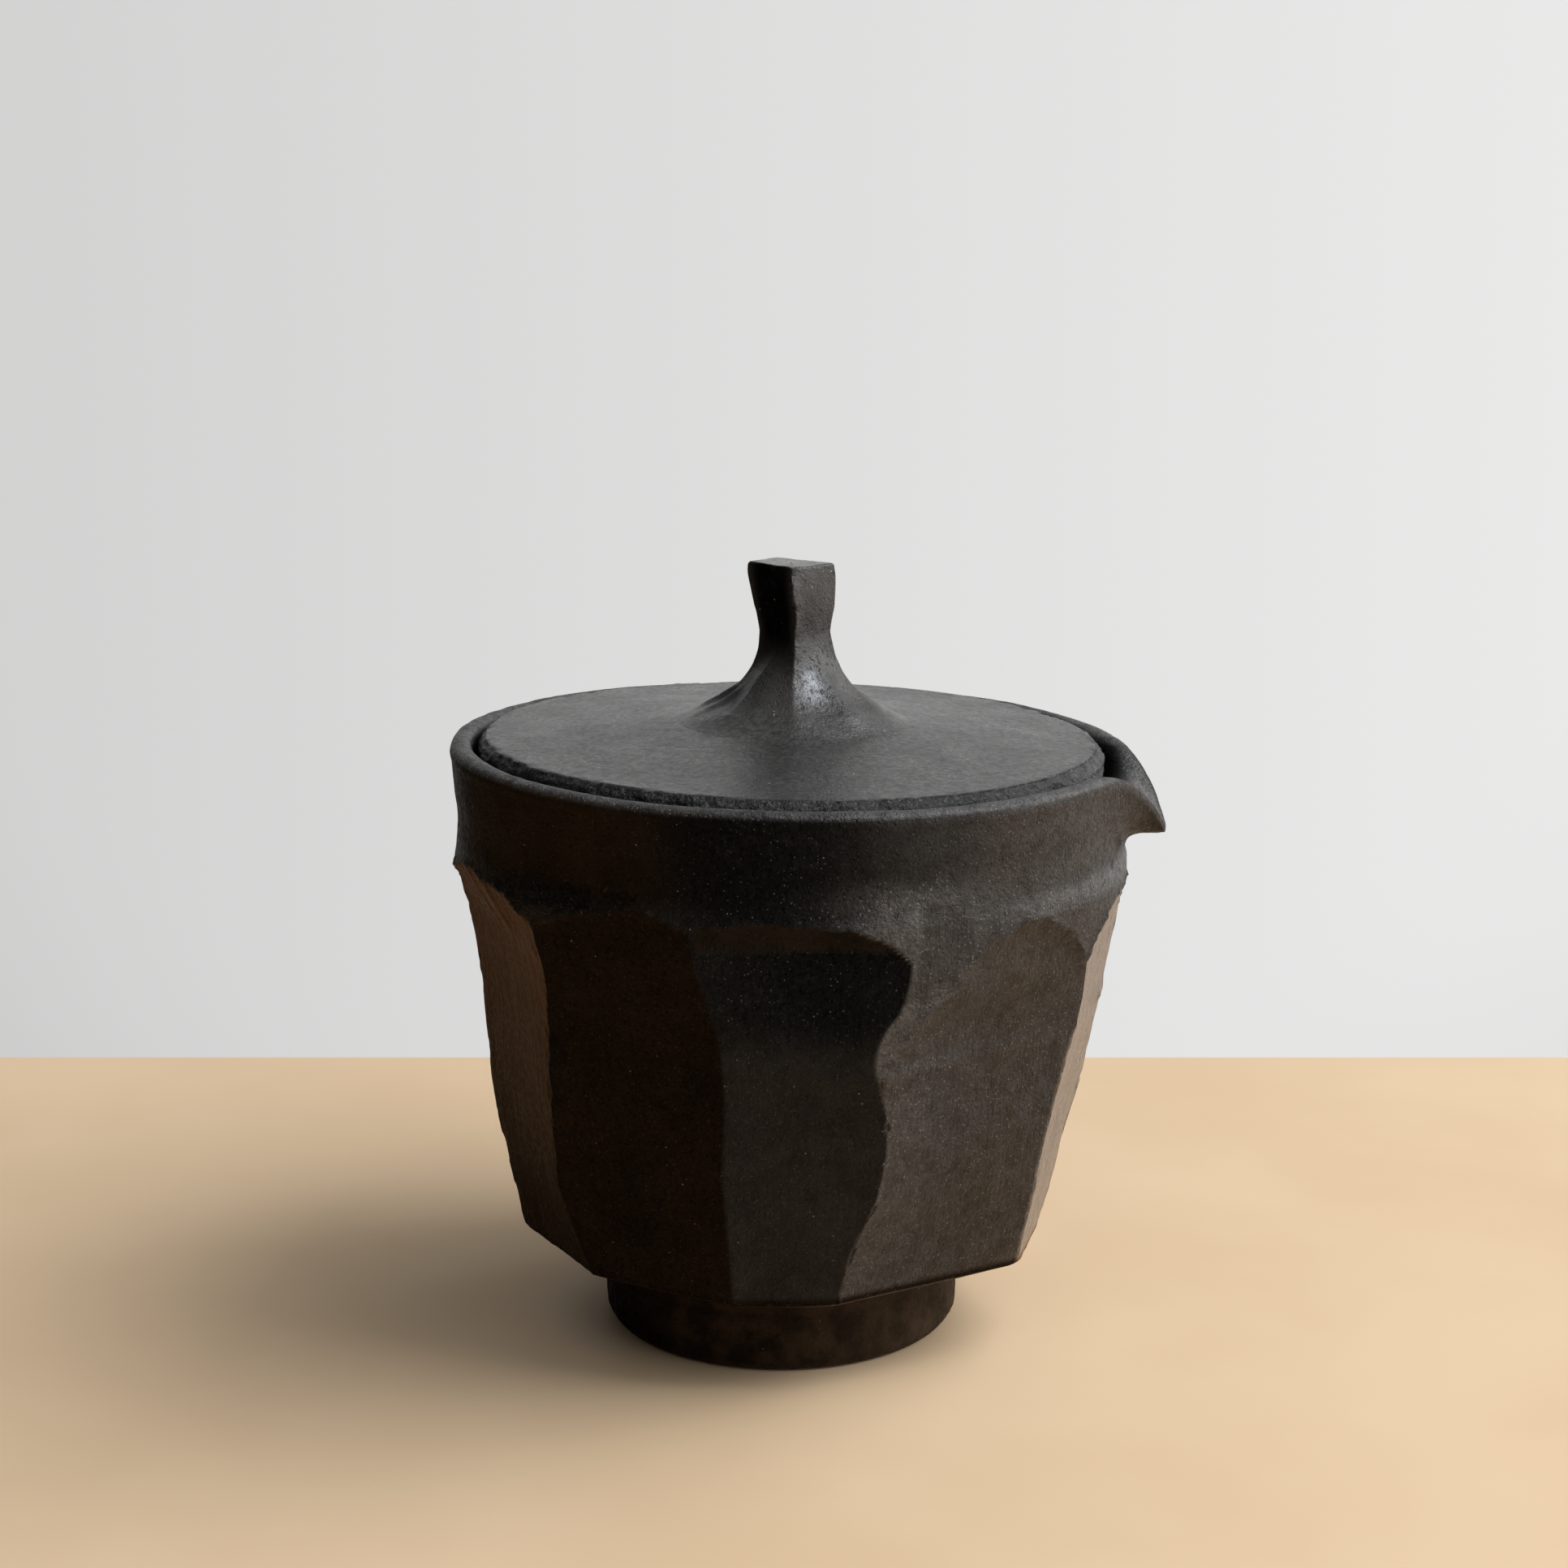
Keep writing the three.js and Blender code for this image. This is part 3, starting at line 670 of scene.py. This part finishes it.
class Nodes:
    """Short ways to add and join shader nodes."""

    def __init__(self, name):
        self.material = bpy.data.materials.new(name)
        self.material.use_nodes = True
        self.tree = self.material.node_tree
        self.shader = self.tree.nodes["Principled BSDF"]
        coordinates = self.tree.nodes.new("ShaderNodeTexCoord").outputs["Object"]
        scaled = self.tree.nodes.new("ShaderNodeVectorMath")
        scaled.operation = "SCALE"
        scaled.inputs["Scale"].default_value = 1 / MM
        self.tree.links.new(coordinates, scaled.inputs[0])
        self.place = scaled.outputs[0]

    def join(self, value, socket):
        if isinstance(value, bpy.types.NodeSocket):
            self.tree.links.new(value, socket)
        else:
            socket.default_value = value

    def noise(self, size, detail=3.0, roughness=0.55, stretch=(1, 1, 1)):
        """Noise from 0 to 1 with lumps of about size mm, drawn out along an axis by stretch."""
        mapping = self.tree.nodes.new("ShaderNodeMapping")
        mapping.inputs["Scale"].default_value = [1 / s for s in stretch]
        self.tree.links.new(self.place, mapping.inputs["Vector"])
        node = self.tree.nodes.new("ShaderNodeTexNoise")
        node.inputs["Scale"].default_value = 1 / size
        node.inputs["Detail"].default_value = detail
        node.inputs["Roughness"].default_value = roughness
        self.tree.links.new(mapping.outputs[0], node.inputs["Vector"])
        return node.outputs["Fac"]

    def cells(self, size, output="Distance"):
        node = self.tree.nodes.new("ShaderNodeTexVoronoi")
        node.inputs["Scale"].default_value = 1 / size
        self.tree.links.new(self.place, node.inputs["Vector"])
        return node.outputs[output]

    def attribute(self, name):
        node = self.tree.nodes.new("ShaderNodeAttribute")
        node.attribute_name = name
        return node.outputs["Fac"]

    def math(self, operation, a, b=0.0, clamp=False):
        node = self.tree.nodes.new("ShaderNodeMath")
        node.operation = operation
        node.use_clamp = clamp
        self.join(a, node.inputs[0])
        self.join(b, node.inputs[1])
        return node.outputs[0]

    def span(self, value, low, high, to_low=0.0, to_high=1.0):
        """Maps low..high to to_low..to_high, held at the ends."""
        node = self.tree.nodes.new("ShaderNodeMapRange")
        node.interpolation_type = "SMOOTHSTEP"
        self.join(value, node.inputs["Value"])
        node.inputs["From Min"].default_value = low
        node.inputs["From Max"].default_value = high
        node.inputs["To Min"].default_value = to_low
        node.inputs["To Max"].default_value = to_high
        return node.outputs["Result"]

    def mix(self, share, a, b):
        node = self.tree.nodes.new("ShaderNodeMix")
        node.data_type = "RGBA"
        self.join(share, node.inputs["Factor"])
        self.join((*a, 1) if isinstance(a, tuple) else a, node.inputs["A"])
        self.join((*b, 1) if isinstance(b, tuple) else b, node.inputs["B"])
        return node.outputs["Result"]

    def bump(self, height, distance, strength=1.0):
        node = self.tree.nodes.new("ShaderNodeBump")
        node.inputs["Strength"].default_value = strength
        node.inputs["Distance"].default_value = distance * MM
        self.join(height, node.inputs["Height"])
        self.tree.links.new(node.outputs[0], self.shader.inputs["Normal"])

    def specks(self, size, amount, radius=0.3):
        """1 on a few small grains of grit, 0 elsewhere: amount is the share of cells that hold one."""
        chosen = self.tree.nodes.new("ShaderNodeSeparateColor")
        self.tree.links.new(self.cells(size, "Color"), chosen.inputs[0])
        picked = self.math("LESS_THAN", chosen.outputs[0], amount)
        bright = self.math("MULTIPLY", picked, self.span(chosen.outputs[1], 0.0, 1.0, 0.15, 1.0))
        small = self.math("LESS_THAN", self.cells(size), radius)
        return self.math("MULTIPLY", bright, small)


CHARCOAL = (0.0110, 0.0118, 0.0135)
BLACK = (0.0030, 0.0038, 0.0044)
BROWN = (0.0220, 0.0128, 0.0058)
DARK_BROWN = (0.0165, 0.0093, 0.0042)
FILM_AND_REFLECTION_GREY = (0.090, 0.083, 0.081)
GRIT = (0.30, 0.28, 0.25)


def wall_material():
    n = Nodes("wall_stoneware")
    blotch = n.span(n.noise(7.0, 4.0), 0.36, 0.66)
    salt = n.noise(0.55, 3.0, 0.6)
    charcoal = n.mix(blotch, BLACK, CHARCOAL)
    brown = n.mix(blotch, DARK_BROWN, BROWN)
    uneven = n.span(n.noise(11.0, 3.0), 0.25, 0.55, 0.6, 1.0)
    colour = n.mix(n.math("MULTIPLY", n.attribute("brown"), uneven, True), charcoal, brown)
    patchy = n.span(n.noise(2.4, 5.0, 0.65), 0.30, 0.62, 0.15, 1.0)
    film_and_reflection = n.math("MULTIPLY", n.attribute("film_and_reflection"), patchy, True)
    film_and_reflection = n.math("MULTIPLY", film_and_reflection, n.span(salt, 0.38, 0.58, 0.35, 1.0))
    # grey film, and on the rim's top and the facet below the lip a painted reflection
    colour = n.mix(film_and_reflection, colour, FILM_AND_REFLECTION_GREY)
    smoky = n.span(n.noise(1.5, 5.0, 0.7), 0.34, 0.56, 0.35, 1.0)
    # black areas: smoke-blackened clay, and painted shade along the lower edge of the cuts
    soot_and_shade = n.math("MULTIPLY", n.attribute("black"), smoky, True)
    colour = n.mix(soot_and_shade, colour, BLACK)
    colour = n.mix(n.span(salt, 0.54, 0.68, 0.0, 0.6), colour, BLACK)
    # pale specks in the grey film; on the rim's top they are partly painted glints
    frost_and_glints = n.math("MULTIPLY", n.specks(0.33, 0.16, 0.38), n.span(n.attribute("film_and_reflection"), 0.0, 0.7, 0.1, 0.9))
    colour = n.mix(frost_and_glints, colour, (0.16, 0.155, 0.155))
    pepper = n.math("MULTIPLY", n.span(n.noise(0.5, 3.0, 0.7), 0.38, 0.48, 1.0, 0.0), n.attribute("black"))
    colour = n.mix(n.math("MULTIPLY", pepper, 0.8), colour, (0.0008, 0.0009, 0.001))
    # pale grains on the black areas, partly painted glints, given extra specular
    sparks = n.math("MULTIPLY", n.specks(0.40, 0.12, 0.24), n.attribute("black"))
    colour = n.mix(sparks, colour, (0.07, 0.072, 0.076))
    grit = n.math("ADD", n.specks(0.5, 0.018, 0.20), n.specks(1.6, 0.010, 0.07), True)
    colour = n.mix(n.math("MULTIPLY", grit, 0.8), colour, GRIT)
    n.join(colour, n.shader.inputs["Base Color"])
    roughness = n.span(n.noise(0.7, 4.0), 0.3, 0.7, 0.36, 0.60)
    roughness = n.math("SUBTRACT", roughness, n.math("MULTIPLY", n.attribute("black"), 0.12))
    n.join(roughness, n.shader.inputs["Roughness"])
    bare = n.span(n.attribute("brown"), 0.2, 0.9, 0.05, 0.01)
    shine = n.math("ADD", bare, n.math("MULTIPLY", n.attribute("film_and_reflection"), 0.5))
    shine = n.math("MULTIPLY", shine, n.span(n.attribute("black"), 0.0, 1.0, 1.0, 0.5))
    n.join(n.math("ADD", shine, n.math("MULTIPLY", sparks, 0.5)), n.shader.inputs["Specular IOR Level"])
    n.join(n.attribute("dust_and_sheen"), n.shader.inputs["Sheen Weight"])
    n.shader.inputs["Sheen Roughness"].default_value = 0.45
    n.join(n.mix(n.attribute("film_and_reflection"), (1.0, 0.50, 0.22), (1.0, 0.84, 0.68)), n.shader.inputs["Sheen Tint"])
    cut = n.attribute("cut")
    drag = n.math("MULTIPLY", n.noise(0.55, 4.0, 0.6, (1, 1, 16)), cut)
    grain = n.noise(0.42, 3.0, 0.65)
    pits = n.span(n.noise(0.8, 3.0, 0.65), 0.32, 0.46, -1.0, 0.0)
    pits = n.math("MULTIPLY", pits, n.math("ADD", n.math("MULTIPLY", n.attribute("black"), 1.4), 0.3))
    height = n.math("ADD", n.math("MULTIPLY", drag, 0.8), n.math("MULTIPLY", grain, 0.9))
    height = n.math("ADD", height, n.math("MULTIPLY", pits, 1.0))
    height = n.math("ADD", height, n.math("MULTIPLY", grit, 0.4))
    n.bump(height, 0.26)
    return n.material


def foot_material():
    n = Nodes("foot_stoneware")
    blotch = n.span(n.noise(5.0, 4.0), 0.35, 0.65)
    colour = n.mix(blotch, (0.011, 0.0068, 0.0038), (0.034, 0.021, 0.012))
    # painted shade: the foot's left side is coloured near black
    colour = n.mix(n.math("MULTIPLY", n.attribute("dark"), 0.85), colour, (0.0022, 0.0016, 0.0012))
    # painted light: the foot's right side is coloured a lighter brown
    lighter = n.mix(blotch, (0.034, 0.022, 0.013), (0.062, 0.041, 0.026))
    colour = n.mix(n.math("MULTIPLY", n.attribute("pale"), 0.8), colour, lighter)
    colour = n.mix(n.math("MULTIPLY", n.attribute("worn"), 0.35), colour, (0.07, 0.05, 0.036))
    colour = n.mix(n.math("MULTIPLY", n.specks(0.5, 0.02, 0.2), 0.6), colour, GRIT)
    n.join(colour, n.shader.inputs["Base Color"])
    n.join(n.span(n.noise(1.0, 4.0), 0.3, 0.7, 0.6, 0.85), n.shader.inputs["Roughness"])
    n.shader.inputs["Specular IOR Level"].default_value = 0.06
    turning = n.math("MULTIPLY", n.noise(0.8, 3.0, 0.6, (9, 9, 1)), 0.8)
    n.bump(n.math("ADD", n.noise(0.5, 4.0, 0.65), turning), 0.3)
    return n.material


def lid_surface(n):
    """Colour and roughness of the flat lid, which the foot of the knob's flare shares."""
    cloud = n.span(n.noise(9.0, 4.0), 0.3, 0.7)
    mottle = n.span(n.noise(0.8, 5.0, 0.65), 0.35, 0.65)
    colour = n.mix(cloud, (0.034, 0.033, 0.032), (0.056, 0.055, 0.053))
    colour = n.mix(n.math("MULTIPLY", mottle, 0.9), colour, (0.008, 0.008, 0.008))
    smeared = n.span(n.noise(6.0, 4.0), 0.35, 0.65, 0.0, 0.07)
    return colour, n.math("ADD", smeared, n.span(mottle, 0.0, 1.0, 0.25, 0.32))


def lid_grit(n):
    return n.math("ADD", n.specks(0.5, 0.02, 0.25), n.specks(2.4, 0.03, 0.06), True)


def lid_grain(n):
    scratches = n.math("MULTIPLY", n.noise(0.3, 2.0, 0.5, (12, 1, 1)), 0.08)
    return n.math("ADD", n.math("MULTIPLY", n.noise(0.45, 3.0, 0.65), 0.75), scratches)


def lid_material():
    n = Nodes("lid_stoneware")
    colour, smooth = lid_surface(n)
    torn = n.attribute("torn")
    crumbs = n.span(n.noise(0.45, 4.0, 0.7), 0.52, 0.62)
    colour = n.mix(torn, colour, n.mix(crumbs, (0.006, 0.0058, 0.0058), (0.055, 0.054, 0.056)))
    colour = n.mix(lid_grit(n), colour, GRIT)
    n.join(colour, n.shader.inputs["Base Color"])
    n.join(n.span(torn, 0.0, 1.0, 0.7, 0.35), n.shader.inputs["Specular IOR Level"])
    n.join(n.math("ADD", smooth, n.math("MULTIPLY", torn, 0.06)), n.shader.inputs["Roughness"])
    rubble = n.math("MULTIPLY", n.math("MULTIPLY", n.noise(0.7, 4.0, 0.7), torn), 3.0)
    n.bump(n.math("ADD", lid_grain(n), rubble), 0.16)
    return n.material


def grip_material():
    n = Nodes("grip_stoneware")
    low = n.attribute("low")
    flat_colour, flat_smooth = lid_surface(n)
    cloud = n.span(n.noise(5.0, 4.0), 0.35, 0.65)
    colour = n.mix(cloud, (0.018, 0.0168, 0.0165), (0.044, 0.0405, 0.039))
    # painted shade: the grip's left-front side is coloured near black and loses its specular
    soot_and_shade = n.attribute("soot_and_shade")
    patches = n.math("MULTIPLY", soot_and_shade, n.span(n.noise(1.2, 4.0, 0.7), 0.3, 0.5, 0.6, 1.0))
    colour = n.mix(patches, colour, BLACK)
    cap, painted_highlight = n.attribute("cap"), n.attribute("painted_highlight")
    # painted light: the knob's flat top is coloured pale grey
    colour = n.mix(cap, colour, (0.12, 0.115, 0.11))
    # painted highlight: the flare's right-front patch is coloured bluish white, with more specular and less
    # roughness
    glint = n.math("MULTIPLY", painted_highlight, n.span(n.noise(0.9, 4.0), 0.35, 0.50), True)
    colour = n.mix(glint, colour, (0.17, 0.185, 0.215))
    colour = n.mix(low, colour, flat_colour)
    colour = n.mix(lid_grit(n), colour, GRIT)
    n.join(colour, n.shader.inputs["Base Color"])
    high = n.span(low, 0.0, 1.0, 1.0, 0.0)
    bright = n.math("ADD", cap, glint)
    level = n.math("ADD", n.span(soot_and_shade, 0.0, 1.0, 0.42, 0.0), n.math("MULTIPLY", bright, 0.5))
    n.join(n.math("ADD", level, n.math("MULTIPLY", low, 0.28)), n.shader.inputs["Specular IOR Level"])
    polish = n.math("MULTIPLY", bright, 0.12)
    rough = n.math("SUBTRACT", n.span(n.noise(2.0, 4.0), 0.3, 0.7, 0.32, 0.46), polish)
    roughness = n.math("ADD", n.math("MULTIPLY", low, flat_smooth), n.math("MULTIPLY", high, rough))
    n.join(roughness, n.shader.inputs["Roughness"])
    pits = n.span(n.noise(0.6, 3.0, 0.6), 0.30, 0.42, -1.0, 0.0)
    height = n.math("ADD", n.math("MULTIPLY", n.noise(0.4, 3.0, 0.6), 0.9), n.math("MULTIPLY", pits, 0.8))
    height = n.math("MULTIPLY", height, high)
    n.bump(n.math("ADD", height, n.math("MULTIPLY", lid_grain(n), low)), 0.16)
    return n.material


# ---- Stage, light and camera ----


def floor_piece():
    mesh = bpy.data.meshes.new("floor")
    near, far, wide = -1.6, 0.111, 1.8
    corners = [(-wide, near, 0), (wide, near, 0), (wide, far, 0), (-wide, far, 0)]
    mesh.from_pydata(corners, [], [(0, 1, 2, 3)])
    floor = bpy.data.objects.new("floor", mesh)
    bpy.context.scene.collection.objects.link(floor)
    n = Nodes("pale_floor")
    colour = n.mix(n.span(n.noise(60.0, 3.0), 0.3, 0.7), (0.71, 0.52, 0.335), (0.755, 0.565, 0.37))
    n.join(colour, n.shader.inputs["Base Color"])
    n.shader.inputs["Roughness"].default_value = 0.6
    n.shader.inputs["Specular IOR Level"].default_value = 0.15
    mesh.materials.append(n.material)


def room_light():
    """A pale wall behind, a bright side to the right, a dim room in front and one large soft window."""
    world = bpy.data.worlds.new("studio")
    world.use_nodes = True
    bpy.context.scene.world = world
    tree = world.node_tree
    direction = tree.nodes.new("ShaderNodeTexCoord").outputs["Generated"]
    split = tree.nodes.new("ShaderNodeSeparateXYZ")
    tree.links.new(direction, split.inputs[0])

    def ramp(axis, low, high, to_low, to_high):
        node = tree.nodes.new("ShaderNodeMapRange")
        node.interpolation_type = "SMOOTHSTEP"
        for label, value in zip(("From Min", "From Max", "To Min", "To Max"), (low, high, to_low, to_high)):
            node.inputs[label].default_value = value
        tree.links.new(split.outputs[axis], node.inputs["Value"])
        return node.outputs["Result"]

    def combine(operation, a, b):
        node = tree.nodes.new("ShaderNodeMath")
        node.operation = operation
        for value, socket in ((a, node.inputs[0]), (b, node.inputs[1])):
            if isinstance(value, float):
                socket.default_value = value
            else:
                tree.links.new(value, socket)
        return node.outputs[0]

    brighter_right = combine("ADD", combine("MULTIPLY", split.outputs["X"], 0.44), 1.0)
    wall = combine("MULTIPLY", ramp("Y", 0.72, 0.95, 0.0, 0.72), brighter_right)
    side = ramp("X", 0.28, 0.75, 0.0, 1.7)
    ceiling = ramp("Z", 0.35, 0.95, 0.0, 0.33)
    level = combine("ADD", combine("MAXIMUM", wall, side), combine("ADD", ceiling, 0.012))
    background = tree.nodes["Background"]
    tree.links.new(level, background.inputs["Strength"])
    background.inputs["Color"].default_value = (1.0, 1.0, 0.995, 1)
    add_area("window", location=(0.60, -0.09, 0.84), target=(0, 0, 0.04), size=0.75, power=8.45,
             colour=(0.97, 0.985, 1.0))


def add_area(name, location, target, size, power, colour):
    data = bpy.data.lights.new(name, "AREA")
    data.shape = "SQUARE"
    data.size = size
    data.energy = power
    data.color = colour
    light = bpy.data.objects.new(name, data)
    light.location = location
    aim = np.array(target) - np.array(location)
    light.rotation_euler = Vector(aim).to_track_quat("-Z", "Y").to_euler()
    bpy.context.scene.collection.objects.link(light)


CAMERA_LEFT, CAMERA_BACK, CAMERA_HEIGHT = 0.93, 358, 151.7  # from the foot of the bowl's axis, in mm
CAMERA_DOWN = 12.16  # degrees


def add_camera():
    data = bpy.data.cameras.new("camera")
    data.lens = 62.2
    data.sensor_width = 36.0
    camera = bpy.data.objects.new("camera", data)
    camera.location = ((AXIS_X - CAMERA_LEFT) * MM, -CAMERA_BACK * MM, CAMERA_HEIGHT * MM)
    camera.rotation_euler = (math.radians(90 - CAMERA_DOWN), 0, 0)
    bpy.context.scene.collection.objects.link(camera)
    bpy.context.scene.camera = camera


# ---- Assembly ----


def place(piece, material, slot, body, *nodes):
    piece.data.materials.append(material)
    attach(piece, body)
    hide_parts(*nodes)


wall = wall_material()
place(bowl_piece(), wall, "wall_stoneware", "bowl", "bowl_body")
place(foot_piece(), foot_material(), "foot_stoneware", "bowl", "foot_ring")
place(ledge_piece(), lid_material(), "wall_stoneware", "bowl", "lid_seat")
place(lid_piece(), lid_material(), "lid_stoneware", "lid", "lid_disc")
place(knob_piece(), grip_material(), "lid_stoneware", "lid", "lid_knob")

floor_piece()
room_light()
add_camera()
bpy.context.scene.view_settings.view_transform = "Standard"
